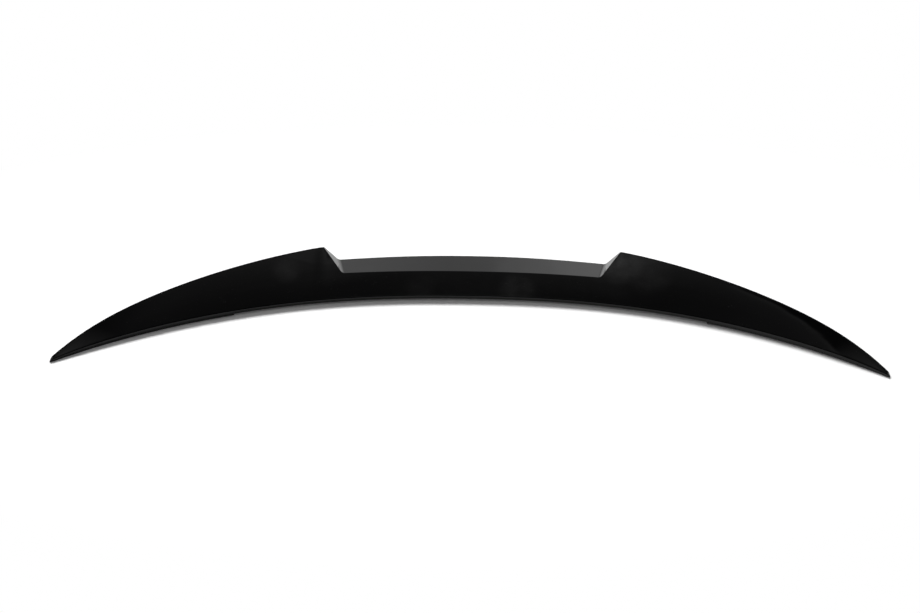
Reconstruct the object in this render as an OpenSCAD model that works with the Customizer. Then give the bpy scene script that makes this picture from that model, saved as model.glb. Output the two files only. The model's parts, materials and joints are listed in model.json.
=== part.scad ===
// Car rear spoiler: one hollow moulding that is bonded along the rear edge of a boot lid.
// X runs across the car, Y toward its rear and Z up. All sizes are in millimetres.

/* [Plan] */
// Width of the spoiler from tip to tip
span = 1240; // [1120:10:1360]
// How far the tips reach forward of the middle of the front edge
sweep = 168; // [120:2:200]
// How late the front edge turns forward, a higher value keeps the middle straighter
sweep_power = 2.3; // [2:0.1:2.8]
// Depth from the front edge to the rear lip between the shoulders
chord = 88; // [76:1:100]
// Extra depth on the centre line, where the rear edge bows out between the shoulders
bow = 5; // [0:0.5:8]
// Depth that is left at each tip
tip_chord = 6; // [5:0.5:12]
// Share of the depth that is lost evenly along a wing, the rest is lost at its tip
taper = 0.45; // [0.3:0.05:0.85]

/* [Height] */
// Height of the rear lip at the shoulders
lip_h = 51.5; // [44:0.5:60]
// Height of the rear lip at the tips
tip_h = 6.5; // [6:0.5:10]
// How long the lip stays high along a wing
lip_power = 1.05; // [1:0.05:1.5]
// Height of the upright front edge
edge_h = 10; // [8:0.5:12]
// Height of the upright front edge at the tips
tip_edge_h = 5.5; // [4:0.5:6]
// Distance that the foot of the front edge is set back under the edge
edge_undercut = 2.5; // [0:0.25:4]
// Hollow of the upper face, zero is a flat slope
hollow = 0.35; // [0:0.05:0.5]
// Distance that the rear face leans back between its foot and the lip
rear_lean = 6; // [2:1:12]
// Slope of the underside, which follows the fall of the lid
under_slope = 0.045; // [0.03:0.005:0.07]

/* [Edges] */
// Radius between the front edge and the upper face
edge_r = 2; // [1:0.25:3]
// Radius of the rear lip
lip_r = 2; // [1:0.25:3]

/* [Recess] */
// Width of the recess floor at its rear edge
recess_w = 424; // [300:2:520]
// Height of the rear edge of the recess floor
recess_h = 24.5; // [22:0.5:34]
// Fall of the recess floor to the rear, in degrees
recess_fall = 5; // [0:0.5:8]
// Lean of the recess ends away from upright, in degrees
end_lean = 42; // [30:1:60]
// Angle by which the recess widens to the rear at each end, in degrees
end_flare = 12; // [0:1:15]
// Radius between the recess floor and the recess ends
recess_r = 9; // [4:0.5:14]
// Radius between the recess ends and the lip
shoulder_r = 6; // [4:0.5:8]

/* [Shell] */
// Thickness of the shell
wall = 3; // [2.5:0.1:4]
// Width of the solid bead behind the front edge
front_land = 8; // [6:0.5:12]
// Width of the foot along the rear edge
rear_land = 10; // [8:0.5:14]
// Thickness of the foot along the rear edge
foot_h = 4; // [3:0.5:6]
// Width of the thin rim that hides the edge of the bonding tape
tape_rim = 1.5; // [1:0.1:2]
// Depth of the tape lands behind that rim
tape_depth = 0.8; // [0.5:0.1:1.2]
// Distance from each tip to the end of the hollow
solid_tip = 58; // [45:1:80]

/* [Ribs] */
// Number of ribs across the hollow
rib_count = 11; // [7:2:15]
// Thickness of a rib
rib_t = 2.5; // [2:0.1:3.5]
// Gap between the rib feet and the lid, measured over the front edge
rib_gap = 2; // [1:0.25:4]

/* [Front relief] */
// Width over which the middle of the front edge stands clear of the lid
relief_w = 720; // [560:10:840]
// Height of that clearance
relief_h = 2.5; // [1:0.25:4]

/* [Hidden] */
half_span = span / 2;
half_relief = relief_w / 2;
half_recess = recess_w / 2;
half_hollow = half_span - solid_tip;
// where the recess ends meet the lip
shoulder = half_recess + (lip_h - recess_h) * tan(end_lean);
// a margin by which cutters pass through what they cut
over = 20;
step = 0.5;
edge_steps = 5;
ramp_steps = 12;
lip_steps = 5;
fillet_steps = 5;
// slope at which the shoulder radius meets the lip
shoulder_slope = 8;
wing_stations = 18;
mid_stations = 40;
inner_stations = 48;
// rear face and recess floor meet here on the centre line
face_run = rear_lean / (lip_h - lip_r);
fall_run = tan(recess_fall);
rear_y =
    (chord + bow - rear_lean + face_run * recess_h + face_run * fall_run * chord) / (1 + face_run * fall_run);
mid_y = (rear_y - sweep) / 2;
rib_pitch = 2 * half_hollow / (rib_count + 1);

function wing_share(x) = max(0, (abs(x) - shoulder) / (half_span - shoulder));
function mid_share(x) = min(1, abs(x) / shoulder);
function chord_at(x) =
    let (u = wing_share(x), m = mid_share(x))
    tip_chord + (chord - tip_chord) * (1 - taper * pow(u, 2) - (1 - taper) * pow(u, 8))
        + bow * pow(1 - m * m, 2);
function lip_at(x) = lip_h - (lip_h - tip_h) * pow(wing_share(x), lip_power);
function edge_at(x) = edge_h - (edge_h - tip_edge_h) * pow(wing_share(x), 6);
function front_y(x) = -sweep * pow(abs(x) / half_span, sweep_power);
function under_at(x) = under_slope * chord_at(x);
function relief_at(x) = abs(x) < half_relief ? relief_h : 0;
function lean_at(x) = rear_lean * lip_at(x) / lip_h * min(1, chord_at(x) / chord * 1.5);

// Rise of the upper face at a share q of its run
function ramp_share(q) = (1 - hollow) * q + hollow * q * q;

// The two radii of a station, smaller where the wing gets thin
function edge_r_at(x) = min(edge_r, chord_at(x) / 5);
function lip_r_at(x) = min(lip_r, chord_at(x) / 5);

// Mean rise of the upper face at a station
function mean_rise(x) =
    (lip_at(x) - under_at(x) - edge_at(x)) / (chord_at(x) - edge_r_at(x) - lip_r_at(x));

// Start and end of the upper face, where it leaves the two radii
function ramp_start(x) =
    let (r = edge_r_at(x), a = 90 + atan((1 - hollow) * mean_rise(x)))
    [r + r * cos(a), under_at(x) + edge_at(x) - r + r * sin(a)];
function ramp_end(x) =
    let (r = lip_r_at(x), a = 90 + atan((1 + hollow) * mean_rise(x)))
    [chord_at(x) - r + r * cos(a), lip_at(x) - r + r * sin(a)];
function ramp_point(x, q) =
    let (a = ramp_start(x), b = ramp_end(x))
    [a[0] + (b[0] - a[0]) * q, a[1] + (b[1] - a[1]) * ramp_share(q)];
// Slope of the upper face at a share q of its run
function ramp_slope(x, q) =
    let (a = ramp_start(x), b = ramp_end(x))
    (b[1] - a[1]) / (b[0] - a[0]) * ((1 - hollow) + 2 * hollow * q);

// Underside of a station from back to front, with the tape lands set in behind a thin rim.
// The lands run out toward the tips.
function under_points(x) =
    let (
        foot = chord_at(x) - lean_at(x),
        front = under_at(x) + relief_at(x),
        toe = min(edge_undercut, foot / 5),
        rim = min(tape_rim, foot / 5),
        fall = front * rim / (foot - toe),
        deep = tape_depth * min(1, 2 * (half_span - abs(x)) / solid_tip)
    )
    [
        [foot, 0], [foot - rim, fall], [foot - rim, fall + deep],
        [toe + rim, front - fall + deep], [toe + rim, front - fall], [toe, front]
    ];

// Outline of a station, from the rear foot over the front edge and the upper face to the lip
function outer_section(x) =
    let (
        c = chord_at(x),
        r = edge_r_at(x),
        p = lip_r_at(x),
        top = under_at(x) + edge_at(x),
        a0 = 90 + atan((1 - hollow) * mean_rise(x)),
        a1 = 90 + atan((1 + hollow) * mean_rise(x))
    )
    concat(
        under_points(x),
        [for (i = [0 : edge_steps])
            let (a = 180 - (180 - a0) * i / edge_steps)
            [r + r * cos(a), top - r + r * sin(a)]],
        [for (i = [1 : ramp_steps - 1]) ramp_point(x, i / ramp_steps)],
        [for (i = [0 : lip_steps])
            let (a = a1 * (1 - i / lip_steps))
            [c - p + p * cos(a), lip_at(x) - p + p * sin(a)]]
    );

// Outline of the hollow at a station, one wall below the upper face and ahead of the rear face
function inner_section(x) =
    let (
        c = chord_at(x),
        foot = c - lean_at(x),
        a = ramp_start(x),
        b = ramp_end(x),
        q0 = (front_land - a[0]) / (b[0] - a[0]),
        back = foot - wall,
        run = lean_at(x) / lip_at(x),
        q1 = (back + run * lip_at(x) / 2 - a[0]) / (b[0] - a[0])
    )
    concat(
        [[foot - rear_land, foot_h], [foot - rear_land, -over], [front_land, -over]],
        [for (i = [0 : ramp_steps])
            let (q = q0 + (q1 - q0) * i / ramp_steps, p = ramp_point(x, q), s = ramp_slope(x, q))
            [p[0], p[1] - wall * sqrt(1 + s * s)]],
        [[back + run * foot_h, foot_h]]
    );

// A closed skin over equal outlines, one per station
module loft(stations, outlines) {
    n = len(outlines[0]);
    m = len(stations);
    points = [for (k = [0 : m - 1]) for (p = outlines[k])
        [stations[k], front_y(stations[k]) + p[0] - mid_y, p[1]]];
    sides = [for (k = [0 : m - 2]) for (i = [0 : n - 1])
        let (j = (i + 1) % n, a = k * n + i, b = k * n + j, c = a + n, d = b + n)
        each [[a, b, c], [b, d, c]]];
    near_cap = [for (i = [1 : n - 2]) [0, i + 1, i]];
    far_cap = [for (i = [1 : n - 2]) let (o = (m - 1) * n) [o, o + i, o + i + 1]];
    polyhedron(points = points, faces = concat(sides, near_cap, far_cap));
}

// Stations from tip to tip, closer together where the wings get narrow, with both relief edges among them
wing_xs = [for (i = [0 : wing_stations])
    half_span - (half_span - half_relief - step) * pow(i / wing_stations, 1.35)];
outer_xs = concat(
    [for (x = wing_xs) -x],
    [for (i = [0 : mid_stations]) (half_relief - step) * (2 * i / mid_stations - 1)],
    [for (i = [0 : wing_stations]) wing_xs[wing_stations - i]]
);
inner_xs = [for (i = [0 : inner_stations]) half_hollow * (2 * i / inner_stations - 1)];

module outer_body() {
    loft(outer_xs, [for (x = outer_xs) outer_section(x)]);
}

module inner_body() {
    loft(inner_xs, [for (x = inner_xs) inner_section(x)]);
}

// Block that takes away the recess, grown downward and outward by a given thickness
module recess_block(grow) {
    slope = 90 - end_lean;
    foot_gain = grow * tan(slope / 2);
    r = recess_r + grow;
    s = shoulder_r - grow;
    n = fillet_steps;
    deep = recess_h - grow * sqrt(1 + fall_run * fall_run);
    brim = lip_h - grow;
    front = -over;
    rear = chord + over;
    // half of the block's outline, from the floor round the fillet, up the end and over the shoulder
    function half_outline(y) =
        let (
            z = deep - (y - chord) * fall_run,
            foot = half_recess + foot_gain + (y - chord) * tan(end_flare),
            round_x = foot - r * tan(slope / 2),
            brim_x = foot + (brim - z) * tan(end_lean),
            back_off = s * tan((slope - shoulder_slope) / 2),
            turn_x = brim_x - back_off * sin(end_lean) + s * cos(end_lean),
            turn_z = brim - back_off * cos(end_lean) - s * sin(end_lean)
        )
        concat(
            [for (i = [0 : n])
                let (a = -90 + slope * i / n)
                [round_x + r * cos(a), z + r + r * sin(a)]],
            [for (i = [0 : n])
                let (a = 180 - end_lean - (slope - shoulder_slope) * i / n)
                [turn_x + s * cos(a), turn_z + s * sin(a)]],
            [[brim_x + 2 * over, brim + 2 * over * tan(shoulder_slope)]]
        );
    function outline(y) =
        let (h = half_outline(y))
        concat(h, [for (i = [len(h) - 1 : -1 : 0]) [-h[i][0], h[i][1]]]);
    half = 2 * n + 3;
    m = 2 * half;
    points = [for (y = [front, rear]) for (p = outline(y)) [p[0], y - mid_y, p[1]]];
    sides = [for (i = [0 : m - 1])
        let (j = (i + 1) % m)
        each [[i, j, m + i], [j, m + j, m + i]]];
    // each cap is cut into strips between mirrored points
    caps = [for (i = [0 : half - 2])
        let (a = i, b = i + 1, c = m - 2 - i, d = m - 1 - i)
        each [
            [a, c, b], [a, d, c],
            [m + a, m + b, m + c], [m + a, m + c, m + d]
        ]];
    polyhedron(points = points, faces = concat(sides, caps));
}

module ribs() {
    low = under_slope * chord + relief_h + rib_gap;
    for (i = [1 : rib_count])
        translate([i * rib_pitch - half_hollow - rib_t / 2, -sweep - over - mid_y, low])
            cube([rib_t, sweep + chord + 2 * over, lip_h + over - low]);
}

module spoiler() {
    color([0.02, 0.02, 0.02])
    difference() {
        outer_body();
        recess_block(0);
        difference() {
            inner_body();
            recess_block(wall);
            ribs();
        }
    }
}

spoiler();
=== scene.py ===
# %% [markdown]
# # A car rear spoiler, from outline to gloss
# The real part is one hollow plastic moulding, sprayed gloss black, that is bonded along the
# rear edge of a boot lid. Here its looks are built over the solid that the CAD part gives, in
# the same place and at the same size.

# %% Load the solid part
import json
import math

import bmesh
import bpy
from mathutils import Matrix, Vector

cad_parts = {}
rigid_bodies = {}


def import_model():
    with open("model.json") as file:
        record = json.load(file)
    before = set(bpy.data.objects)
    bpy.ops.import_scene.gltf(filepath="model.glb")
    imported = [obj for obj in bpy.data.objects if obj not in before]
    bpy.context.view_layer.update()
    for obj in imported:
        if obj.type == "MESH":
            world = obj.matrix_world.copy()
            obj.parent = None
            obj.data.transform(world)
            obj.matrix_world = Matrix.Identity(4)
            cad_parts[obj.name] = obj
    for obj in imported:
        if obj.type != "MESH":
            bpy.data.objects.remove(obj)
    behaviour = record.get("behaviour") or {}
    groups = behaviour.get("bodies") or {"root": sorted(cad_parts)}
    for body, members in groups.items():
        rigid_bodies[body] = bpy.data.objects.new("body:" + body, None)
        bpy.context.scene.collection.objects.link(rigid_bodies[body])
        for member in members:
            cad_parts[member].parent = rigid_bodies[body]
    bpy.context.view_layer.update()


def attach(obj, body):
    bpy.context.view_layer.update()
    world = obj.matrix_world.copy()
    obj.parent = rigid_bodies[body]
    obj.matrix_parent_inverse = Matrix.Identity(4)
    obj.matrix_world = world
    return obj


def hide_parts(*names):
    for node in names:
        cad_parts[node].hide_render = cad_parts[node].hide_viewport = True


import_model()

# %% [markdown]
# ## The camera
# The picture was taken from the car-front side of the part, about 37 degrees above the table
# and a little to the right of its middle. The distance shows in how much the wings spread, and
# the lens in how large the part is in the frame. A camera is easiest to aim by giving it a
# place and a point to look at, and letting Blender work out the turn between them. The
# Standard view writes each colour as it was lit, so white paper can come out white.

# %% Camera
camera_data = bpy.data.cameras.new("camera")
camera_data.sensor_width = 36.0
camera_data.lens = 77.13
camera = bpy.data.objects.new("camera", camera_data)
bpy.context.collection.objects.link(camera)
camera.location = (0.0542, -2.3926, 1.8255)
look_at = Vector((-0.0154, 0.0023, 0.0200))
camera.rotation_euler = (look_at - camera.location).to_track_quat("-Z", "Y").to_euler()
bpy.context.scene.camera = camera
bpy.context.scene.view_settings.view_transform = "Standard"
print("camera is", round((look_at - camera.location).length, 3), "m from the part")

# %% [markdown]
# ## Working by hand, in code
# Blender's tools act on what is selected. These helpers do what a hand does between two tools:
# leave everything else alone, go into edit mode, pick points, edges or faces by where they
# are, and apply a modifier.

# %% Helpers for selecting
def only(piece):
    """Selects one piece and nothing else."""
    if bpy.context.object and bpy.context.object.mode != "OBJECT":
        bpy.ops.object.mode_set(mode="OBJECT")
    bpy.ops.object.select_all(action="DESELECT")
    piece.select_set(True)
    bpy.context.view_layer.objects.active = piece


def edit(piece, part="VERT"):
    """Opens one piece in edit mode with nothing selected."""
    only(piece)
    bpy.ops.object.mode_set(mode="EDIT")
    bpy.ops.mesh.select_mode(type=part)
    bpy.ops.mesh.select_all(action="DESELECT")


def pick(piece, test, part="verts"):
    """Selects the points, edges or faces for which the test holds."""
    bpy.ops.mesh.select_all(action="DESELECT")
    mesh = bmesh.from_edit_mesh(piece.data)
    chosen = [item for item in getattr(mesh, part) if test(item)]
    for item in chosen:
        item.select_set(True)
    mesh.select_flush_mode()
    bmesh.update_edit_mesh(piece.data)
    return len(chosen)


def apply_modifier(piece, kind, **settings):
    """Adds a modifier, sets it and applies it."""
    only(piece)
    modifier = piece.modifiers.new(kind.lower(), kind)
    for name, value in settings.items():
        setattr(modifier, name, value)
    bpy.ops.object.modifier_apply(modifier=modifier.name)


print("helpers:", [helper.__name__ for helper in (only, edit, pick, apply_modifier)])

# %% [markdown]
# ## The sizes
# These are the part's own sizes, in metres. The wings are where the shape lives: going from
# the shoulder to the tip, the part gets shallower and lower, and its front edge turns forward.
# One number, the share of the way along the wing, drives all of that.

# %% Sizes of the moulding
HALF_SPAN = 0.620
SWEEP, SWEEP_POWER = 0.168, 2.3
CHORD, BOW, TIP_CHORD, TAPER, TIP_POWER = 0.088, 0.005, 0.006, 0.45, 8
LIP_H, TIP_H, LIP_POWER = 0.0515, 0.0065, 1.05
EDGE_H, TIP_EDGE_H, EDGE_POWER, UNDERCUT = 0.010, 0.0055, 6, 0.0012
HOLLOW, REAR_LEAN, LEAN_FADE, UNDER_SLOPE = 0.35, 0.006, 1.5, 0.045
EDGE_R, LIP_R = 0.002, 0.002
RECESS_H, HALF_RECESS, RECESS_R, SHOULDER_R = 0.0245, 0.212, 0.009, 0.006
FALL = math.tan(math.radians(5))
FLARE = math.tan(math.radians(12))
END_LEAN = math.radians(42)
SHOULDER_SLOPE = math.radians(8)
SHOULDER = HALF_RECESS + (LIP_H - RECESS_H) * math.tan(END_LEAN)
SHOULDER_Y = 0.070
HALF_RELIEF, RELIEF_H = 0.360, 0.0025
face_run = REAR_LEAN / (LIP_H - LIP_R)
rear_y = (CHORD + BOW - REAR_LEAN + face_run * (RECESS_H + FALL * CHORD)) / (1 + face_run * FALL)
BACK = (rear_y - SWEEP) / 2
print("shoulders at", round(SHOULDER, 4), "m, front edge starts at y", round(-BACK, 4))


# %% [markdown]
# ## The outline and what each point of it does
# A loft is an outline that is extruded from station to station and changed a little each time.
# The outline here is the cross-section of the part: foot, bonding lands, upright front edge,
# its radius, the hollow upper face and the rounded lip. Every group of points has an anchor
# and a size, so that at the next station the group is only scaled about its anchor and moved.
# The radii keep their form that way, and the upper face stretches with the part.

# %% Anchors of the outline at a station
RIM, TAPE_DEPTH, SOLID_TIP = 0.0015, 0.0008, 0.058
START_ANGLE = math.radians(106.4)
END_ANGLE = math.radians(121.4)
# toward the tips, the depth stays at least five times a radius, the undercut and the rim
AT_LEAST_TIMES = 5


def wing_share(x):
    return max(0.0, (abs(x) - SHOULDER) / (HALF_SPAN - SHOULDER))


def anchors(x):
    """Anchor and size of each group of outline points, as (y, z) pairs in the straight part."""
    u, m = wing_share(x), min(1.0, x / SHOULDER)
    kept = 1 - TAPER * u ** 2 - (1 - TAPER) * u ** TIP_POWER
    chord = TIP_CHORD + (CHORD - TIP_CHORD) * kept + BOW * (1 - m * m) ** 2
    lip = LIP_H - (LIP_H - TIP_H) * u ** LIP_POWER
    under = UNDER_SLOPE * chord
    top = under + EDGE_H - (EDGE_H - TIP_EDGE_H) * u ** EDGE_POWER
    front = under + (RELIEF_H if x < HALF_RELIEF else 0.0)
    foot = chord - REAR_LEAN * lip / LIP_H * min(1.0, chord / CHORD * LEAN_FADE)
    radius = min(EDGE_R, chord / AT_LEAST_TIMES)
    lip_radius = min(LIP_R, chord / AT_LEAST_TIMES)
    toe = min(UNDERCUT, foot / AT_LEAST_TIMES)
    rim = min(RIM, foot / AT_LEAST_TIMES)
    fall = front * rim / (foot - toe)
    deep = TAPE_DEPTH * min(1.0, 2 * (HALF_SPAN - x) / SOLID_TIP)
    start = Vector((radius * (1 + math.cos(START_ANGLE)),
                    top + radius * (math.sin(START_ANGLE) - 1)))
    end = Vector((chord + lip_radius * (math.cos(END_ANGLE) - 1),
                  lip + lip_radius * (math.sin(END_ANGLE) - 1)))
    return {
        "rear_foot": (Vector((foot, 0.0)), Vector((rim, fall))),
        "rear_tape": (Vector((foot - rim, fall + deep)), Vector((1.0, 1.0))),
        "front_tape": (Vector((toe + rim, front - fall + deep)), Vector((1.0, 1.0))),
        "front_foot": (Vector((toe, front)), Vector((rim, fall))),
        "edge": (Vector((0.0, top)), Vector((radius, radius))),
        "face": (start, end - start),
        "lip": (Vector((chord, lip)), Vector((lip_radius, lip_radius))),
    }


print("groups of points:", ", ".join(anchors(0)))

# %% [markdown]
# ## Drawing the outline
# An outline is drawn as by hand: a plane is collapsed into one point, and that point is
# extruded from place to place. No row of the upper face is drawn where the crease of the
# recess will run, so that the edge that is cut there later has clean faces beside it and takes
# a bevel well.

# %% Draw lines point by point
# the size of the plane that becomes the first point, and the distance at which points join
DOT, WELD = 0.001, 1e-6


def draw(name, points, close=False):
    """Draws a line of points and returns it as a new piece."""
    bpy.ops.object.select_all(action="DESELECT")
    bpy.ops.mesh.primitive_plane_add(size=DOT, location=points[0])
    piece = bpy.context.object
    piece.name = name
    bpy.ops.object.transform_apply(location=True, rotation=True, scale=True)
    edit(piece)
    bpy.ops.mesh.select_all(action="SELECT")
    bpy.ops.mesh.merge(type="CENTER")
    path = list(points) + ([points[0]] if close else [])
    for here, there in zip(path, path[1:]):
        step = Vector(there) - Vector(here)
        bpy.ops.mesh.extrude_region_move(TRANSFORM_OT_translate={"value": step})
    if close:
        bpy.ops.mesh.select_all(action="SELECT")
        bpy.ops.mesh.remove_doubles(threshold=WELD)
    bpy.ops.object.mode_set(mode="OBJECT")
    return piece


def arc(corner, size, side, first, last, steps=8):
    """Points of a radius between a corner's two sides; side is 1 in front and -1 behind."""
    turns = [first + (last - first) * i / steps for i in range(steps + 1)]
    return [corner + Vector((size.x * (math.cos(a) + side), size.y * (math.sin(a) - 1)))
            for a in turns]


def face_rise(q):
    """How far the slightly hollow upper face has risen at a share q of its depth."""
    return (1 - HOLLOW) * q + HOLLOW * q * q


# rows of the upper face as shares of its depth, with a gap for the crease of the recess
ROWS, ROW, BEHIND_CREASE, REST = 11, 0.04, 0.56, 0.44
FACE_ROWS = [ROW * i for i in range(1, ROWS + 1)]
FACE_ROWS += [BEHIND_CREASE + REST * i / ROWS for i in range(ROWS)]


def outline_points():
    """The outline on the centre line, with the group that each point belongs to."""
    spots = anchors(0)
    foot, rim = spots["rear_foot"]
    front, _ = spots["front_foot"]
    start, run = spots["face"]
    points = [
        (foot, "rear_foot"),
        (foot + Vector((-rim.x, rim.y)), "rear_foot"),
        (spots["rear_tape"][0], "rear_tape"),
        (spots["front_tape"][0], "front_tape"),
        (front + Vector((rim.x, -rim.y)), "front_foot"),
        (front, "front_foot"),
    ]
    points += [(p, "edge") for p in arc(*spots["edge"], 1, math.pi, START_ANGLE)]
    points += [(start + Vector((run.x * q, run.y * face_rise(q))), "face") for q in FACE_ROWS]
    points += [(p, "lip") for p in arc(*spots["lip"], -1, END_ANGLE, 0.0)]
    return points


section = outline_points()
body = draw("spoiler_shell", [(0.0, p.x - BACK, p.y) for p, _ in section], close=True)
print("outline of", len(body.data.vertices), "points")

# %% [markdown]
# Each point is now given to its group. A vertex group travels with an extrusion, so the new
# points at every further station already know what they are.

# %% Name the groups of points
def name_groups(piece, entries):
    """Gives each point of a drawn outline to the group of the nearest entry."""
    for group_name in dict.fromkeys(name for _, name in entries):
        piece.vertex_groups.new(name=group_name)
    for vertex in piece.data.vertices:
        spot = Vector((vertex.co.y + BACK, vertex.co.z))
        nearest = min(entries, key=lambda entry: (spot - entry[0]).length)
        piece.vertex_groups[nearest[1]].add([vertex.index], 1.0, "REPLACE")


name_groups(body, section)
print("groups:", [g.name for g in body.vertex_groups])


# %% [markdown]
# ## The middle and one wing
# Up to the shoulder only the depth changes a little, because the rear edge bows out there, and
# ten steps are enough. Along the wing the outline is extruded in short steps. After each step
# every group is scaled about its anchor and moved to the next one. The tip ends in a small
# pointed nose: the whole outline is extruded four more times and scaled down toward the foot of
# the front edge, and then closed with a face. Turning the wing forward comes last of all,
# because a straight part is much easier to cut.

# %% Reshape a loft from station to station
# a group that moves and grows by less than this is left as it is
STILL = 1e-9


def next_station(piece, spots_of, x, next_x):
    """Extrudes the open end of a loft to the next station and reshapes it there."""
    bpy.ops.mesh.extrude_region_move(TRANSFORM_OT_translate={"value": (next_x - x, 0, 0)})
    old, new = spots_of(x), spots_of(next_x)
    for group_name in new:
        number = piece.vertex_groups[group_name].index
        (old_spot, old_size), (spot, size) = old[group_name], new[group_name]
        if (spot - old_spot).length < STILL and (size - old_size).length < STILL:
            continue
        mesh = bmesh.from_edit_mesh(piece.data)
        layer = mesh.verts.layers.deform.active
        pick(piece, lambda v: abs(v.co.x - next_x) < WELD and number in v[layer])
        bpy.ops.transform.resize(
            value=(1.0, size.x / old_size.x, size.y / old_size.y if old_size.y else 1.0),
            center_override=(next_x, old_spot.x - BACK, old_spot.y))
        bpy.ops.transform.translate(value=(0.0, spot.x - old_spot.x, spot.y - old_spot.y))
    pick(piece, lambda v: abs(v.co.x - next_x) < WELD)


print("groups that change by less than", STILL, "m are left alone")

# %% [markdown]
# The stations of a wing stand closer together toward its tip, where the outline changes most.
# Two of them stand side by side where the gap under the front edge ends.

# %% Extrude the half body
STATIONS, MID_STATIONS, CROWDING = 44, 10, 1.5
# length of each step of the nose, and the share of the outline that is left after it
NOSE = ((0.0014, 0.88), (0.0012, 0.78), (0.0010, 0.62), (0.0006, 0.45))
# the nose shrinks toward this place, and the last full outline lies short of the solid's tip
NOSE_Y, NOSE_Z, SHORT_OF_TIP = 0.003, 0.0005, 0.0035
WING_END = HALF_SPAN - SHORT_OF_TIP
# half the distance between the two stations at the end of the gap
HALF_STEP = 0.0003
wing = [WING_END - (WING_END - SHOULDER) * (1 - i / STATIONS) ** CROWDING
        for i in range(STATIONS + 1)]
wing = sorted(wing + [HALF_RELIEF - HALF_STEP, HALF_RELIEF + HALF_STEP])
middle = [SHOULDER * i / MID_STATIONS for i in range(MID_STATIONS)]
stations = middle + wing
edit(body)
bpy.ops.mesh.select_all(action="SELECT")
for x, next_x in zip(stations, stations[1:]):
    next_station(body, anchors, x, next_x)
nose_x = WING_END
for step, size in NOSE:
    nose_x += step
    bpy.ops.mesh.extrude_region_move(TRANSFORM_OT_translate={"value": (step, 0, 0)})
    bpy.ops.transform.resize(value=(1, size, size), center_override=(nose_x, NOSE_Y - BACK, NOSE_Z))
bpy.ops.mesh.edge_face_add()
bpy.ops.mesh.select_all(action="SELECT")
bpy.ops.mesh.remove_doubles(threshold=WELD)
bpy.ops.object.mode_set(mode="OBJECT")
print("half body:", len(body.data.vertices), "points,", len(body.data.polygons), "faces")

# %% [markdown]
# The other half is a mirror image. The Mirror modifier copies the half over the centre line
# and joins the two where they meet.

# %% Mirror the half
def mirror(piece):
    """Copies a half over the centre line and turns all faces outward."""
    apply_modifier(piece, "MIRROR", use_clip=True, merge_threshold=10 * WELD)
    edit(piece)
    bpy.ops.mesh.select_all(action="SELECT")
    bpy.ops.mesh.normals_make_consistent(inside=False)
    bpy.ops.object.mode_set(mode="OBJECT")


mirror(body)
print("whole body:", len(body.data.polygons), "faces")


# %% [markdown]
# ## Turning the wings forward
# The sweep is one modifier: each point gets a weight for its distance from the middle, and
# Displace moves it along Y by that weight. The same sweep serves the body and the tool below.

# %% Sweep as a weight
def sweep_weights(piece):
    """Gives each point the share of the sweep that its distance from the middle calls for."""
    group = piece.vertex_groups.new(name="sweep")
    for vertex in piece.data.vertices:
        group.add([vertex.index], (abs(vertex.co.x) / HALF_SPAN) ** SWEEP_POWER, "REPLACE")


def sweep(piece, amount):
    """Moves a piece along Y by its sweep weights."""
    sweep_weights(piece)
    apply_modifier(piece, "DISPLACE", vertex_group="sweep", direction="Y", mid_level=0.0,
                   strength=amount)
    piece.vertex_groups.remove(piece.vertex_groups["sweep"])


at_shoulder = SWEEP * (SHOULDER / HALF_SPAN) ** SWEEP_POWER
print("sweep at the shoulder", round(at_shoulder, 4), "m, at the tip", SWEEP, "m")

# %% [markdown]
# ## The recess across the middle
# The recess is milled out of the straight part with a tool of its own shape: a floor that
# falls five degrees to the rear, a radius at each end and an end wall that leans outward. Its
# profile is drawn once, pushed from front to rear, and given height. The floor is flat in the
# real, swept part, so the tool is bent back by the same sweep before it cuts.

# %% Make the recess tool
# how far the tool reaches past the part in front and behind, to the sides and upward
TOOL_ENDS, TOOL_SIDES, TOOL_H = 0.020, 0.040, 0.05
FLOOR_STEPS, TURN_STEPS = 8, 6
# a point this close to a plane counts as lying on it
NEAR = 0.001


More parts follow.
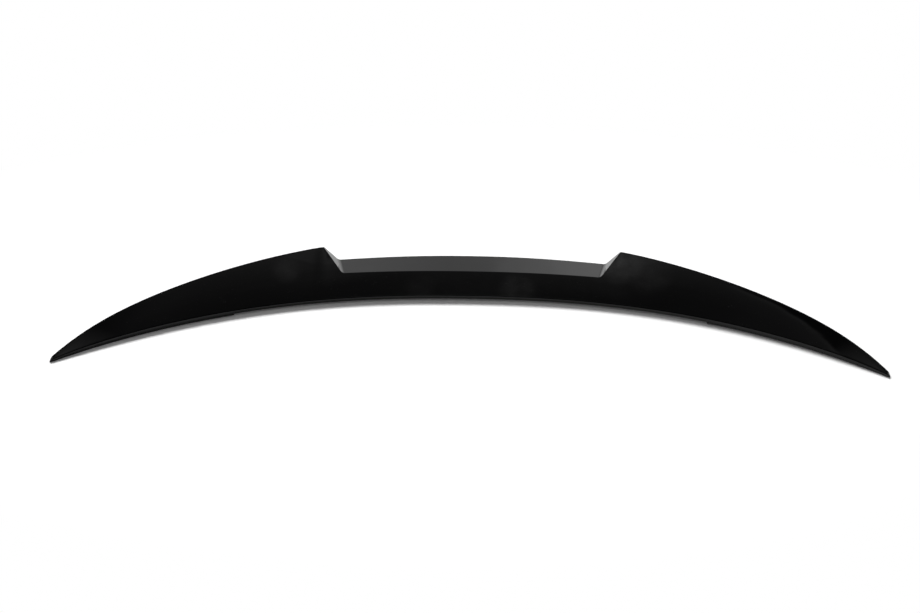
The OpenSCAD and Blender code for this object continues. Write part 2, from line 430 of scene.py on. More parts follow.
def recess_tool(name, grow=0.0):
    """The tool that cuts the recess, or grown by one wall the one that keeps it closed below."""
    front, rear = -TOOL_ENDS, CHORD + TOOL_ENDS
    rise = math.pi / 2 - END_LEAN
    floor = RECESS_H - grow * math.sqrt(1 + FALL * FALL) - (front - CHORD) * FALL
    foot = HALF_RECESS + grow * math.tan(rise / 2) + (front - CHORD) * FLARE
    radius = RECESS_R + grow
    centre = foot - radius * math.tan(rise / 2)
    half = [(centre * i / FLOOR_STEPS, floor) for i in range(1, FLOOR_STEPS)]
    angles = [rise * i / FLOOR_STEPS for i in range(FLOOR_STEPS + 1)]
    half += [(centre + radius * math.sin(a), floor + radius * (1 - math.cos(a))) for a in angles]
    # the end wall meets the lip's height here when the tool stands at the shoulder
    turn = SHOULDER_R - grow
    rise_left = LIP_H - grow - floor + (SHOULDER_Y - front) * FALL
    brim = (foot + rise_left * math.tan(END_LEAN), floor + rise_left)
    off = turn * math.tan((rise - SHOULDER_SLOPE) / 2)
    pivot = (brim[0] - off * math.sin(END_LEAN) + turn * math.cos(END_LEAN),
             brim[1] - off * math.cos(END_LEAN) - turn * math.sin(END_LEAN))
    angles = [math.pi - END_LEAN - (rise - SHOULDER_SLOPE) * i / TURN_STEPS
              for i in range(TURN_STEPS + 1)]
    half += [(pivot[0] + turn * math.cos(a), pivot[1] + turn * math.sin(a)) for a in angles]
    half += [(brim[0] + TOOL_SIDES, brim[1] + TOOL_SIDES * math.tan(SHOULDER_SLOPE))]
    profile = [(-x, z) for x, z in reversed(half)] + [(0.0, floor)] + half
    tool = draw(name, [(x, front - BACK, z) for x, z in profile])
    edit(tool)
    bpy.ops.mesh.select_all(action="SELECT")
    depth = rear - front
    to_rear = (0, depth, -depth * FALL)
    bpy.ops.mesh.extrude_region_move(TRANSFORM_OT_translate={"value": to_rear})
    for side in (-1, 1):
        pick(tool, lambda v: v.co.x * side > centre - NEAR and v.co.y > rear - BACK - NEAR)
        bpy.ops.transform.translate(value=(side * depth * FLARE, 0, 0))
    bpy.ops.mesh.select_all(action="SELECT")
    bpy.ops.mesh.extrude_region_move(TRANSFORM_OT_translate={"value": (0, 0, TOOL_H)})
    bpy.ops.mesh.select_all(action="SELECT")
    bpy.ops.mesh.normals_make_consistent(inside=False)
    bpy.ops.object.mode_set(mode="OBJECT")
    sweep(tool, SWEEP)
    return tool


print("recess floor falls", round(CHORD * FALL, 4), "m to the rear")

# %% [markdown]
# The tool carries a material of its own, and the Boolean hands it on to the faces that it
# leaves. So every surface of the body has a slot: skin, recess, underside, and last of all the
# front edge.

# %% Cut the recess
SKIN_SLOT, RECESS_SLOT, UNDER_SLOT, EDGE_SLOT = range(4)


def cut(piece, tool):
    """Cuts one piece with another and throws the tool away."""
    apply_modifier(piece, "BOOLEAN", operation="DIFFERENCE", solver="EXACT",
                   material_mode="TRANSFER", object=tool)
    bpy.data.objects.remove(tool)


body.data.materials.append(bpy.data.materials.new("skin marker"))
tool = recess_tool("recess_tool")
tool.data.materials.append(bpy.data.materials.new("recess marker"))
cut(body, tool)
print("after the recess:", len(body.data.polygons), "faces,", list(body.data.materials.keys()))


# %% [markdown]
# The outline of the recess is the border of the faces that the tool left. A moulding has no
# knife edges, so that border gets a small radius with the Bevel tool.

# %% Round the edges of the recess
ROUND, ROUND_STEPS = 0.0008, 3
edit(body, "FACE")
body.active_material_index = RECESS_SLOT
bpy.ops.object.material_slot_select()
bpy.ops.mesh.region_to_loop()
bpy.ops.mesh.bevel(offset=ROUND, segments=ROUND_STEPS, affect="EDGES", clamp_overlap=True)
bpy.ops.object.mode_set(mode="OBJECT")
print("after the bevel:", len(body.data.polygons), "faces")

# %% [markdown]
# ## The hollow underneath
# A moulding this thick would sink as it cools, so the real one is a shell about 3 mm thick
# with ribs across. The hollow is a second loft, one wall below the upper face. It stops in
# front of the foot, behind the front bead and short of the tips, and the recess tool, grown by
# one wall, keeps the skin closed under the recess.

# %% Anchors of the hollow at a station
WALL, FRONT_LAND, REAR_LAND, FOOT_H = 0.003, 0.008, 0.010, 0.004
HALF_HOLLOW = HALF_SPAN - SOLID_TIP
DEEP_BELOW = -0.020


def roof_point(x, q):
    """A point of the hollow's roof, one wall below the upper face."""
    start, run = anchors(x)["face"]
    slope = run.y / run.x * ((1 - HOLLOW) + 2 * HOLLOW * q)
    return start + Vector((run.x * q, run.y * face_rise(q) - WALL * math.sqrt(1 + slope * slope)))


def roof_ends(x):
    """Shares of the upper face at which the hollow's roof starts and ends."""
    spots = anchors(x)
    start, run = spots["face"]
    foot, chord = spots["rear_foot"][0].x, spots["lip"][0].x
    back = foot - WALL + (chord - foot) / 2
    return (FRONT_LAND - start.x) / run.x, (back - start.x) / run.x


def hollow_anchors(x):
    """Anchor and size of each group of the hollow's outline."""
    spots = anchors(x)
    foot, (chord, lip) = spots["rear_foot"][0].x, spots["lip"][0]
    first, last = (roof_point(x, q) for q in roof_ends(x))
    one = Vector((1.0, 1.0))
    return {
        "behind": (Vector((foot - REAR_LAND, FOOT_H)), one),
        "ahead": (Vector((FRONT_LAND, DEEP_BELOW)), one),
        "roof": (first, last - first),
        "above_foot": (Vector((foot - WALL + (chord - foot) / lip * FOOT_H, FOOT_H)), one),
    }


print("wall", WALL, "m, hollow up to", round(HALF_HOLLOW, 4), "m from the middle")

# %% [markdown]
# The hollow is drawn, extruded and mirrored as the body was, in fewer steps, because its faces
# are seen only from below. It reaches down past the table, so it cuts the underside open.

# %% Extrude the hollow
ROOF_STEPS, WING_STEPS = 14, 16
first_q, last_q = roof_ends(0)
spots = hollow_anchors(0)
rear_wall = spots["behind"][0]
hollow_section = [(rear_wall, "behind"), (Vector((rear_wall.x, DEEP_BELOW)), "behind")]
hollow_section += [(spots["ahead"][0], "ahead")]
roof_rows = [first_q + (last_q - first_q) * i / ROOF_STEPS for i in range(ROOF_STEPS + 1)]
hollow_section += [(roof_point(0, q), "roof") for q in roof_rows]
hollow_section += [(spots["above_foot"][0], "above_foot")]
hollow = draw("hollow_tool", [(0.0, p.x - BACK, p.y) for p, _ in hollow_section], close=True)
name_groups(hollow, hollow_section)
steps = [SHOULDER + (HALF_HOLLOW - SHOULDER) * i / WING_STEPS for i in range(WING_STEPS + 1)]
steps = middle + steps
edit(hollow)
bpy.ops.mesh.select_all(action="SELECT")
for x, next_x in zip(steps, steps[1:]):
    next_station(hollow, hollow_anchors, x, next_x)
bpy.ops.mesh.edge_face_add()
bpy.ops.object.mode_set(mode="OBJECT")
mirror(hollow)
print("hollow tool:", len(hollow.data.polygons), "faces")

# %% [markdown]
# The ribs are thin plates across the hollow. One is made, an Array copies it at an even
# spacing, and the set is taken out of the tool, so that plastic stays there when the tool cuts.

# %% Ribs
RIBS, RIB_T, RIB_GAP = 11, 0.0025, 0.002
# the plate that a rib is cut from is deeper and higher than the hollow
PLATE_Y, PLATE_DEPTH, PLATE_H = 0.08, 0.30, 0.10
pitch = 2 * HALF_HOLLOW / (RIBS + 1)
rib_low = UNDER_SLOPE * CHORD + RELIEF_H + RIB_GAP
bpy.ops.object.select_all(action="DESELECT")
bpy.ops.mesh.primitive_cube_add(
    size=1.0, location=(pitch - HALF_HOLLOW, PLATE_Y, rib_low + PLATE_H / 2),
    scale=(RIB_T, PLATE_DEPTH, PLATE_H))
rib = bpy.context.object
rib.name = "rib_tool"
bpy.ops.object.transform_apply(location=True, rotation=True, scale=True)
apply_modifier(rib, "ARRAY", count=RIBS, use_relative_offset=False, use_constant_offset=True,
               constant_offset_displace=(pitch, 0, 0))
hollow.data.materials.append(bpy.data.materials.new("hollow marker"))
cut(hollow, recess_tool("recess_tool_grown", WALL))
cut(hollow, rib)
cut(body, hollow)
print("hollow body:", len(body.data.polygons), "faces,", list(body.data.materials.keys()))

# %% [markdown]
# ## Columns, then the sweep
# The straight middle has no cross edges yet, and a face without them can't bend. Bisect slices
# the whole piece at even places, and then the sweep moves every point forward by its weight.

# %% Slice and sweep
SLICES = 38
edit(body)
for i in range(1, SLICES):
    bpy.ops.mesh.select_all(action="SELECT")
    x = SHOULDER * (2 * i / SLICES - 1)
    if abs(x) > NEAR:
        bpy.ops.mesh.bisect(plane_co=(x, 0, 0), plane_no=(1, 0, 0))
bpy.ops.mesh.select_all(action="SELECT")
bpy.ops.mesh.remove_doubles(threshold=2 * WELD)
bpy.ops.mesh.normals_make_consistent(inside=False)
bpy.ops.object.mode_set(mode="OBJECT")
body.vertex_groups.clear()
sweep(body, -SWEEP)
print("swept body:", len(body.data.vertices), "points,", len(body.data.polygons), "faces")

# %% [markdown]
# The upright front edge gets a slot of its own, for a thinner, duller coat that also paints
# the darker shade that it mirrors from the table's shadow. Its faces look forward and lie low.
# At the end the piece is shaded smooth up to an angle, so that gentle bends look round and real
# edges stay crisp.

# %% Front edge and smooth shading
FORWARD, UPWARD, LOW_EDGE = -0.5, 0.3, 0.0145
SMOOTH_UP_TO, AREA_WEIGHT = math.radians(38), 80


def on_front_edge(face):
    """True for a face of the skin that looks forward and lies low."""
    looks_forward = face.normal.y < FORWARD and face.normal.z < UPWARD
    low = face.calc_center_median().z < LOW_EDGE
    return looks_forward and low and face.material_index == SKIN_SLOT


edit(body, "FACE")
body.data.materials.append(bpy.data.materials.new("front marker"))
print("faces of the low front edge:", pick(body, on_front_edge, "faces"))
body.active_material_index = EDGE_SLOT
bpy.ops.object.material_slot_assign()
only(body)
bpy.ops.object.shade_smooth_by_angle(angle=SMOOTH_UP_TO)
apply_modifier(body, "WEIGHTED_NORMAL", keep_sharp=True, weight=AREA_WEIGHT)


# %% [markdown]
# ## The studio
# Light, table and finishes are made of shader nodes. These helpers add one node at a time, so
# that each line below reads as one step.

# %% Helpers for nodes
def node(tree, kind, place, **settings):
    """Adds one shader node and sets its properties and plain input values."""
    made = tree.nodes.new(kind)
    made.location = place
    for name, value in settings.items():
        if name.startswith("in_"):
            made.inputs[name[3:].replace("_", " ")].default_value = value
        else:
            setattr(made, name, value)
    return made


def math_node(tree, operation, place, *values, clamp=False):
    """A Math node whose inputs are numbers or other nodes' outputs."""
    made = node(tree, "ShaderNodeMath", place, operation=operation, use_clamp=clamp)
    for socket, value in zip(made.inputs, values):
        if isinstance(value, (int, float)):
            socket.default_value = value
        else:
            tree.links.new(value, socket)
    return made.outputs[0]


def chain(tree, operation, place, first, *others, clamp=False):
    """Takes several numbers or outputs through one operation, a Math node after another."""
    for step, value in enumerate(others, 1):
        spot = (place[0] + 150 * (step - 1), place[1])
        last = step == len(others)
        first = math_node(tree, operation, spot, first, value, clamp=clamp and last)
    return first


def ramp(tree, place, value, stops, mode="LINEAR"):
    """A Color Ramp of grey stops, given as (place, grey) pairs."""
    made = node(tree, "ShaderNodeValToRGB", place)
    made.color_ramp.interpolation = mode
    while len(made.color_ramp.elements) < len(stops):
        made.color_ramp.elements.new(0.5)
    for element, (spot, grey) in zip(made.color_ramp.elements, stops):
        element.position = spot
        element.color = (grey, grey, grey, 1.0)
    tree.links.new(value, made.inputs[0])
    return made.outputs["Color"]


print("helpers:", [helper.__name__ for helper in (node, math_node, chain, ramp)])

# %% [markdown]
# The part lies on a white table in a white studio. Its black is glossy, so what one sees on it
# is the room: a pale wall behind it that is brighter at the right, a dark arch over that wall
# and a faintly lit ceiling whose light ends overhead. Two values find a place in that room:
# how high a ray goes, from the wall's foot over the ceiling to the camera's side, and how far
# it goes to the left or right.

# %% Where a ray goes
world = bpy.data.worlds.new("studio")
bpy.context.scene.world = world
world.use_nodes = True
tree = world.node_tree
tree.nodes.clear()
where = node(tree, "ShaderNodeTexCoord", (-1400, 0))
axes = node(tree, "ShaderNodeSeparateXYZ", (-1200, 0))
tree.links.new(where.outputs["Generated"], axes.inputs[0])
to_right = axes.outputs["X"]
height = math_node(tree, "ARCSINE", (-1000, 0), axes.outputs["Z"])
# angle above the rear horizon, from 0 at the back over 90 overhead to 180 at the camera's side
flip = math_node(tree, "SUBTRACT", (-800, -120), math.pi, height)
behind = math_node(tree, "GREATER_THAN", (-1000, -240), axes.outputs["Y"], 0.0)
over = node(tree, "ShaderNodeMix", (-600, 0), data_type="FLOAT")
tree.links.new(behind, over.inputs[0])
tree.links.new(flip, over.inputs[2])
tree.links.new(height, over.inputs[3])
share = math_node(tree, "DIVIDE", (-400, 0), over.outputs[0], math.pi)
sideways = math_node(tree, "MULTIPLY_ADD", (-800, 300), to_right, 0.5, 0.5)
print("nodes that find the way:", len(tree.nodes))

# %% [markdown]
# The wall is bright below and ends at the dark arch. Across, it has a darker middle. Each list
# gives places and the brightness there.

# %% Wall of the room
WALL_UP = [(0.0, 1.0), (0.10, 0.9), (0.145, 0.78), (0.172, 0.72), (0.215, 0.10), (0.25, 0.0)]
# from left to right, as half of its brightness
WALL_ACROSS = [
    (0.25, 0.5), (0.35, 0.85), (0.459, 0.48), (0.485, 0.34), (0.497, 0.37), (0.501, 0.48),
    (0.506, 0.48), (0.514, 0.63), (0.523, 0.68), (0.65, 0.80), (0.75, 0.5)]
wall = ramp(tree, (-200, 0), share, WALL_UP)
across = ramp(tree, (-500, 300), sideways, WALL_ACROSS)
pale_wall = chain(tree, "MULTIPLY", (-200, 300), across, 2.0, wall)
print("wall from", WALL_UP[0][1], "down to", WALL_UP[-1][1])

# %% [markdown]
# The dark arch comes down toward both sides, and over it the ceiling gets lighter up to the
# edge of its lamp light. It fades toward the left, and a dark screen with a pale edge hides
# its far right end. That screen draws the thin curved line on the right wing.

# %% Ceiling of the room
ARCH_DROP, RIGHT_FROM, SCREEN_LEAN = 1.055, 0.06, 0.73
CEILING = [
    (0.30, 0.057), (0.39, 0.064), (0.43, 0.086), (0.46, 0.121), (0.495, 0.157), (0.54, 0.243),
    (0.60, 0.371), (0.63, 0.371), (0.66, 0.017), (1.0, 0.011)]
LEFT_FADE = [
    (0.375, 0.10), (0.40, 0.30), (0.4165, 0.50), (0.44, 0.68), (0.492, 0.70), (0.53, 1.0)]
SCREEN, SCREEN_DARKNESS = [(0.356, 0.0), (0.360, 1.0)], 0.9
PALE_EDGE, EDGE_LIGHT = [(0.346, 0.0), (0.354, 1.0), (0.357, 1.0), (0.360, 0.0)], 0.45
aside = math_node(tree, "ABSOLUTE", (-800, -300), to_right)
arch = math_node(tree, "MULTIPLY_ADD", (-400, -300), aside, ARCH_DROP, share)
ceiling = ramp(tree, (-200, -300), arch, CEILING)
lean = ramp(tree, (-200, -500), sideways, LEFT_FADE)
right_end = math_node(tree, "GREATER_THAN", (-400, -700), to_right, RIGHT_FROM)
across_up = math_node(tree, "MULTIPLY_ADD", (-400, -900), share, SCREEN_LEAN, to_right)
screen = ramp(tree, (-200, -900), across_up, SCREEN)
edge_line = ramp(tree, (-200, -1150), across_up, PALE_EDGE)
hidden = chain(tree, "MULTIPLY", (100, -900), screen, right_end, SCREEN_DARKNESS)
lined = chain(tree, "MULTIPLY", (100, -1150), edge_line, right_end, EDGE_LIGHT)
with_line = math_node(tree, "ADD", (400, -1050), lined, 1.0)
left_open = math_node(tree, "SUBTRACT", (550, -900), with_line, hidden)
lit_ceiling = chain(tree, "MULTIPLY", (100, -300), ceiling, lean, left_open)
walls = math_node(tree, "ADD", (400, 0), pale_wall, lit_ceiling)
print("nodes of the room:", len(tree.nodes))

# %% [markdown]
# The world gives mirror rays that room, gives the camera and rays through glass plain white,
# and gives all other rays an even, soft light.

# %% World
SOFT_LIGHT, WHITE = 0.15, (1, 1, 1, 1)
room = node(tree, "ShaderNodeBackground", (600, 0))
tree.links.new(walls, room.inputs["Color"])
soft = node(tree, "ShaderNodeBackground", (600, -200), in_Color=WHITE, in_Strength=SOFT_LIGHT)
paper = node(tree, "ShaderNodeBackground", (600, 200), in_Color=WHITE, in_Strength=1.0)
rays = node(tree, "ShaderNodeLightPath", (400, 600))
mirror_rays = node(tree, "ShaderNodeMixShader", (850, 0))
seen_rays = node(tree, "ShaderNodeMixShader", (1050, 100))
direct = math_node(
    tree, "ADD", (650, 500), rays.outputs["Is Camera Ray"], rays.outputs["Is Transmission Ray"],
    clamp=True)
tree.links.new(rays.outputs["Is Glossy Ray"], mirror_rays.inputs[0])
tree.links.new(soft.outputs[0], mirror_rays.inputs[1])
tree.links.new(room.outputs[0], mirror_rays.inputs[2])
tree.links.new(direct, seen_rays.inputs[0])
tree.links.new(mirror_rays.outputs[0], seen_rays.inputs[1])
tree.links.new(paper.outputs[0], seen_rays.inputs[2])
sky = node(tree, "ShaderNodeOutputWorld", (1250, 100))
tree.links.new(seen_rays.outputs[0], sky.inputs["Surface"])
print("world nodes:", len(tree.nodes))

# %% [markdown]
# The table is a plain sheet, large enough to fill the view. It is white by its own colour, so
# the part's shadow stays on it. A lamp lights only the middle of a table well, so farther out
# the camera sees plain white in its place, and so do mirror rays and rays through glass.

# %% Table
TABLE_SIZE, TABLE_GREY, TABLE_GLOW = 60.0, 0.97, 0.03
# the distance is halved along X, so the sheet turns plain white outside an oval round the part
OVAL, OVAL_EDGE = (0.5, 1.0, 1.0), [(0.38, 0.0), (0.56, 1.0)]
bpy.ops.object.select_all(action="DESELECT")
bpy.ops.mesh.primitive_plane_add(size=TABLE_SIZE, location=(0, 0, 0))
table = bpy.context.object
table.name = "table"
table_white = bpy.data.materials.new("table white")
table_white.use_nodes = True
tree = table_white.node_tree
surface = tree.nodes["Principled BSDF"]
surface.inputs["Base Color"].default_value = (TABLE_GREY, TABLE_GREY, TABLE_GREY, 1.0)
surface.inputs["Roughness"].default_value = 1.0
surface.inputs["Specular IOR Level"].default_value = 0.0
surface.inputs["Emission Color"].default_value = WHITE
surface.inputs["Emission Strength"].default_value = TABLE_GLOW
place = node(tree, "ShaderNodeTexCoord", (-900, 300))
narrow = node(tree, "ShaderNodeMapping", (-700, 300), in_Scale=OVAL)
out_from = node(tree, "ShaderNodeVectorMath", (-500, 300), operation="LENGTH")
tree.links.new(place.outputs["Object"], narrow.inputs["Vector"])
tree.links.new(narrow.outputs[0], out_from.inputs[0])
outside = ramp(tree, (-300, 300), out_from.outputs["Value"], OVAL_EDGE, "EASE")
rays = node(tree, "ShaderNodeLightPath", (-500, 700))
plain = node(tree, "ShaderNodeEmission", (0, -300), in_Color=WHITE, in_Strength=1.0)
shown = node(tree, "ShaderNodeMixShader", (500, 200))
seen_by = [rays.outputs[f"Is {kind} Ray"] for kind in ("Camera", "Glossy", "Transmission")]
looked_at = chain(tree, "ADD", (-300, 700), *seen_by, clamp=True)
whitened = math_node(tree, "MULTIPLY", (200, 500), outside, looked_at)
tree.links.new(whitened, shown.inputs[0])
tree.links.new(surface.outputs[0], shown.inputs[1])
tree.links.new(plain.outputs[0], shown.inputs[2])
tree.links.new(shown.outputs[0], tree.nodes["Material Output"].inputs["Surface"])
table.data.materials.append(table_white)
print("table:", TABLE_SIZE, "m wide")

# %% [markdown]
# The shadow in the picture lies in front of the part, is short and soft, and is a little longer
# under the left wing. So the main light is a large one, high up, well to the rear and somewhat
# to the left, and a weak one from the front right fills the shadow. They would show as white
# sheets in the gloss, which the picture doesn't have, so mirror rays don't see them.

# %% Lamps
LAMPS_LOOK_AT = Vector((0.0, 0.0, 0.0))


def panel(name, place, size, power):
    """A large soft light that looks at the part, unseen by the camera and by mirror rays."""
    lamp = bpy.data.lights.new(name, "AREA")
    lamp.shape = "RECTANGLE"
    lamp.size, lamp.size_y = size
    lamp.energy = power
    holder = bpy.data.objects.new(name, lamp)
    bpy.context.collection.objects.link(holder)
    holder.location = place
    holder.rotation_euler = (LAMPS_LOOK_AT - Vector(place)).to_track_quat("-Z", "Y").to_euler()
    holder.visible_glossy = False
    holder.visible_camera = False
    print(name, "of", power, "W")


panel("main_light", (-1.7, 2.6, 4.7), (4.4, 2.6), 400.0)
panel("fill_light", (1.8, -3.6, 5.2), (4.0, 3.0), 40.0)

# %% [markdown]
# ## The finish
# The visible side is plastic sprayed gloss black and polished. Three things keep such a
# surface from looking like glass: long, shallow waves from the moulding, the fine texture of
# dried lacquer that painters call orange peel, and a little dust with light wiping marks.
# The faint grey clouds on the top are painted reflection: lighter patches in the black's colour.
# The upright front edge has a thinner, duller coat, which also paints the darker shade that it
# mirrors from the table's shadow. The underside was never sprayed and is bare satin plastic,
# with smears of dried polish. All three finishes use the same groups of nodes, each with its
# own values. The first group adds up waves and grain.

# %% Group for the relief
FLOAT, VECTOR = "NodeSocketFloat", "NodeSocketVector"


def group_tree(name, inputs, outputs):
    """An empty shader node group with named inputs and outputs."""
    group = bpy.data.node_groups.new(name, "ShaderNodeTree")
    for label, kind, value in inputs:
        socket = group.interface.new_socket(name=label, in_out="INPUT", socket_type=kind)
        if value is not None:
            socket.default_value = value
    for label, kind in outputs:
        group.interface.new_socket(name=label, in_out="OUTPUT", socket_type=kind)
    ends = [node(group, "NodeGroupInput", (-900, 0)), node(group, "NodeGroupOutput", (900, 0))]
    return group, *ends


def noise(tree, place, vector, scale, detail=2.0, roughness=0.5):
    """A noise whose scale is a number or another node's output, counted per metre."""
    made = node(tree, "ShaderNodeTexNoise", place)
    made.inputs["Detail"].default_value = detail
    made.inputs["Roughness"].default_value = roughness
    tree.links.new(vector, made.inputs["Vector"])
    if isinstance(scale, (int, float)):
        made.inputs["Scale"].default_value = scale
    else:
        tree.links.new(scale, made.inputs["Scale"])
    return made.outputs["Fac"]


relief, given, result = group_tree(
    "moulded relief",
    [("Vector", VECTOR, None), ("Wave Scale", FLOAT, 18.0), ("Wave Height", FLOAT, 0.1),
     ("Grain Scale", FLOAT, 900.0), ("Grain Height", FLOAT, 0.02)],
    [("Height", FLOAT)])
spot = given.outputs["Vector"]
waves = noise(relief, (-600, 200), spot, given.outputs["Wave Scale"], detail=1.0)
grain = noise(relief, (-600, -200), spot, given.outputs["Grain Scale"])
wave_height = math_node(relief, "MULTIPLY", (-300, 200), waves, given.outputs["Wave Height"])
grain_height = math_node(relief, "MULTIPLY", (-300, -200), grain, given.outputs["Grain Height"])
relief_height = math_node(relief, "ADD", (0, 0), wave_height, grain_height)
relief.links.new(relief_height, result.inputs["Height"])
print("group:", relief.name)

# %% [markdown]
# The second group puts out how rough the surface is and where dust lies. Wiping marks are a
# noise that is stretched across the part. Specks are the cells of a Voronoi pattern, shrunk to
# dots, and a second noise leaves them only in patches.

# %% Group for dust and wiping marks
ALONG_WIPE, WIPE_SCALE, DOT_SCALE, PATCH_SCALE = (0.35, 1.0, 1.0), 26.0, 420.0, 60.0
SPECK_ROUGHNESS = 0.4
dust, given, result = group_tree(
    "dust and wiping marks",
    [("Vector", VECTOR, None), ("Clean Roughness", FLOAT, 0.05), ("Haze", FLOAT, 0.05),
     ("Speck Amount", FLOAT, 0.5)],
    [("Roughness", FLOAT), ("Specks", FLOAT)])
spot = given.outputs["Vector"]
stretch = node(dust, "ShaderNodeMapping", (-900, 300), in_Scale=ALONG_WIPE)
dust.links.new(spot, stretch.inputs["Vector"])
wipes = noise(dust, (-700, 300), stretch.outputs[0], WIPE_SCALE, detail=4.0, roughness=0.6)
clouds = ramp(dust, (-450, 300), wipes, [(0.45, 0.0), (0.75, 1.0)])
haze = math_node(dust, "MULTIPLY", (-150, 300), clouds, given.outputs["Haze"])
cells = node(dust, "ShaderNodeTexVoronoi", (-700, -200), feature="F1", in_Scale=DOT_SCALE)
dust.links.new(spot, cells.inputs["Vector"])
dots = ramp(dust, (-450, -200), cells.outputs["Distance"], [(0.05, 1.0), (0.12, 0.0)])
patches = noise(dust, (-700, -450), spot, PATCH_SCALE, detail=3.0)
patchy = ramp(dust, (-450, -450), patches, [(0.52, 0.0), (0.70, 1.0)])
specks = chain(dust, "MULTIPLY", (-150, -250), dots, patchy, given.outputs["Speck Amount"])
dust.links.new(specks, result.inputs["Specks"])
smooth_part = math_node(dust, "ADD", (150, 300), haze, given.outputs["Clean Roughness"])
speck_part = math_node(dust, "MULTIPLY", (300, 0), specks, SPECK_ROUGHNESS)
rough = math_node(dust, "ADD", (500, 200), smooth_part, speck_part, clamp=True)
dust.links.new(rough, result.inputs["Roughness"])
print("group:", dust.name)

# %% [markdown]
# The third group is one lighter patch at a fixed place that fades outward and is broken up
# by a noise: below the part it is a smear of dried polish, and on the top a painted reflection.

# %% Group for a smear and a painted reflection
STREAK_SCALE = 38.0
smear, given, result = group_tree(
    "smear and painted reflection",
    [("Vector", VECTOR, None), ("Centre", VECTOR, None), ("Reach", FLOAT, 0.04),
     ("Amount", FLOAT, 0.1)],
    [("Film and Sheen", FLOAT)])
spot = given.outputs["Vector"]
away = node(smear, "ShaderNodeVectorMath", (-650, 200), operation="DISTANCE")
smear.links.new(spot, away.inputs[0])
smear.links.new(given.outputs["Centre"], away.inputs[1])
reached = math_node(
    smear, "DIVIDE", (-450, 200), away.outputs["Value"], given.outputs["Reach"])
fade = ramp(smear, (-250, 200), reached, [(0.0, 1.0), (0.35, 0.75), (1.0, 0.0)], "EASE")
broken = noise(smear, (-500, -100), spot, STREAK_SCALE, detail=3.0, roughness=0.6)
streaks = ramp(smear, (-250, -100), broken, [(0.3, 0.35), (0.7, 1.0)])
film_and_sheen = chain(smear, "MULTIPLY", (50, 100), fade, streaks, given.outputs["Amount"])
smear.links.new(film_and_sheen, result.inputs["Film and Sheen"])
print("group:", smear.name)


# %% [markdown]
# A finish joins the groups: dust, polish smears and painted reflection patches tint the black,
# dust makes it rougher, and the relief tilts it a little through a Bump node. The shine is the
# strength of the mirror image.

# %% Make a finish
PLASTIC_IOR = 1.5
# the colour sockets of a Mix node
MIX_A, MIX_B, MIX_RESULT = 6, 7, 2


def finish(name, colour, dust_colour, relief_values, dust_values, bump_distance,
           smears_and_sheen=(), shine=0.5):
    """A black plastic finish made of the shared groups; a shine of 0.5 is that of full lacquer."""
    made = bpy.data.materials.new(name)
    made.use_nodes = True
    tree = made.node_tree
    surface = tree.nodes["Principled BSDF"]
    surface.inputs["IOR"].default_value = PLASTIC_IOR
    surface.inputs["Specular IOR Level"].default_value = shine
    place = node(tree, "ShaderNodeTexCoord", (-1300, 0))
    form = node(tree, "ShaderNodeGroup", (-1000, -300), node_tree=relief)
    dirt = node(tree, "ShaderNodeGroup", (-1000, 200), node_tree=dust)
    for user, values in ((form, relief_values), (dirt, dust_values)):
        tree.links.new(place.outputs["Object"], user.inputs["Vector"])
        for label, value in values.items():
            user.inputs[label].default_value = value
    cover = dirt.outputs["Specks"]
    # polish smears below and painted reflection patches on the top lighten the tint
    for number, (centre, reach, amount) in enumerate(smears_and_sheen):
        mark = node(tree, "ShaderNodeGroup", (-1000, 600 + 250 * number), node_tree=smear)
        tree.links.new(place.outputs["Object"], mark.inputs["Vector"])
        mark.inputs["Centre"].default_value = centre
        mark.inputs["Reach"].default_value = reach
        mark.inputs["Amount"].default_value = amount
        level = (-750, 500 + 150 * number)
        cover = math_node(tree, "ADD", level, cover, mark.outputs["Film and Sheen"], clamp=True)
    tint = node(tree, "ShaderNodeMix", (-500, 300), data_type="RGBA")
    tree.links.new(cover, tint.inputs[0])
    tint.inputs[MIX_A].default_value = colour
    tint.inputs[MIX_B].default_value = dust_colour
    tree.links.new(tint.outputs[MIX_RESULT], surface.inputs["Base Color"])
    tree.links.new(dirt.outputs["Roughness"], surface.inputs["Roughness"])
    bump = node(tree, "ShaderNodeBump", (-500, -300))
    bump.inputs["Distance"].default_value = bump_distance
    tree.links.new(form.outputs["Height"], bump.inputs["Height"])
    tree.links.new(bump.outputs["Normal"], surface.inputs["Normal"])
    return made


print("each finish uses:", ", ".join(group.name for group in (relief, dust, smear)))
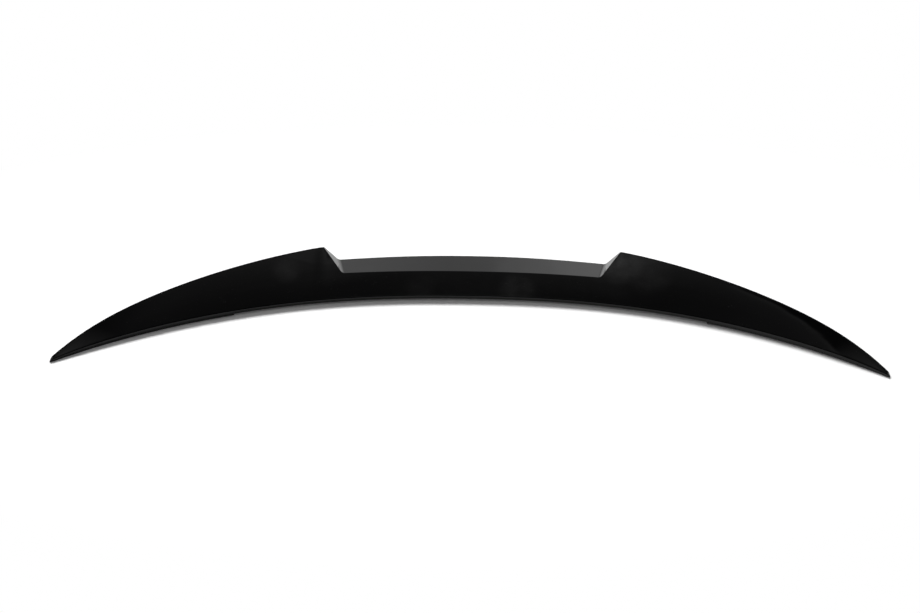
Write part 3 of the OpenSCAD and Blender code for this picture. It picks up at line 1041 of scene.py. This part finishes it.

# %% [markdown]
# The three finishes differ only in values: the lacquer is the smoothest and darkest, the thin
# coat of the front edge is duller and so paints the shade that it mirrors, and the bare plastic
# below is rough and a little paler. Then each slot of the body gets its finish.

# %% Finishes
# each polish smear below, and each painted reflection patch on the top, as its centre, its reach in
# metres and its amount
TOP_PAINTED_REFLECTIONS = [
    ((-0.286, 0.071, 0.034), 0.030, 0.13),
    ((0.070, 0.053, 0.018), 0.036, 0.16),
    ((0.232, 0.090, 0.043), 0.042, 0.40),
    ((0.03, 0.055, 0.020), 0.180, 0.035),
    ((-0.078, 0.054, 0.018), 0.030, 0.05),
    ((0.275, 0.075, 0.034), 0.045, 0.12)]
UNDER_SMEARS = [((-0.21, 0.055, 0.012), 0.090, 0.15), ((0.27, 0.040, 0.012), 0.120, 0.12)]
gloss = finish(
    "gloss black lacquer", (0.0008, 0.0008, 0.0009, 1), (0.05, 0.05, 0.05, 1),
    {"Wave Scale": 14.0, "Wave Height": 0.25, "Grain Scale": 700.0, "Grain Height": 0.004},
    {"Clean Roughness": 0.03, "Haze": 0.06, "Speck Amount": 1.0}, 0.0008, TOP_PAINTED_REFLECTIONS)
# painted shade: a duller copy of the lacquer on the front edge, where it mirrors the table's shadow
thin_coat_and_shade = finish(
    "thin coat and painted shade on edge", (0.0015, 0.0015, 0.0016, 1), (0.05, 0.05, 0.05, 1),
    {"Wave Scale": 20.0, "Wave Height": 0.25, "Grain Scale": 900.0, "Grain Height": 0.03},
    {"Clean Roughness": 0.12, "Haze": 0.12, "Speck Amount": 0.6}, 0.0008, shine=0.2)
satin = finish(
    "bare satin plastic", (0.012, 0.012, 0.013, 1), (0.08, 0.08, 0.08, 1),
    {"Wave Scale": 30.0, "Wave Height": 0.3, "Grain Scale": 1500.0, "Grain Height": 0.12},
    {"Clean Roughness": 0.38, "Haze": 0.15, "Speck Amount": 0.5}, 0.0006, UNDER_SMEARS)
in_slots = {SKIN_SLOT: gloss, RECESS_SLOT: gloss, UNDER_SLOT: satin, EDGE_SLOT: thin_coat_and_shade}
for number, material in in_slots.items():
    body.material_slots[number].material = material
print("finishes:", [slot.material.name for slot in body.material_slots])

# %% [markdown]
# ## Handing over
# The finished shell stands in for the solid part, which is hidden, and moves with its only
# body.

# %% Hand over
only(body)
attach(body, "root")
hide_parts("spoiler")
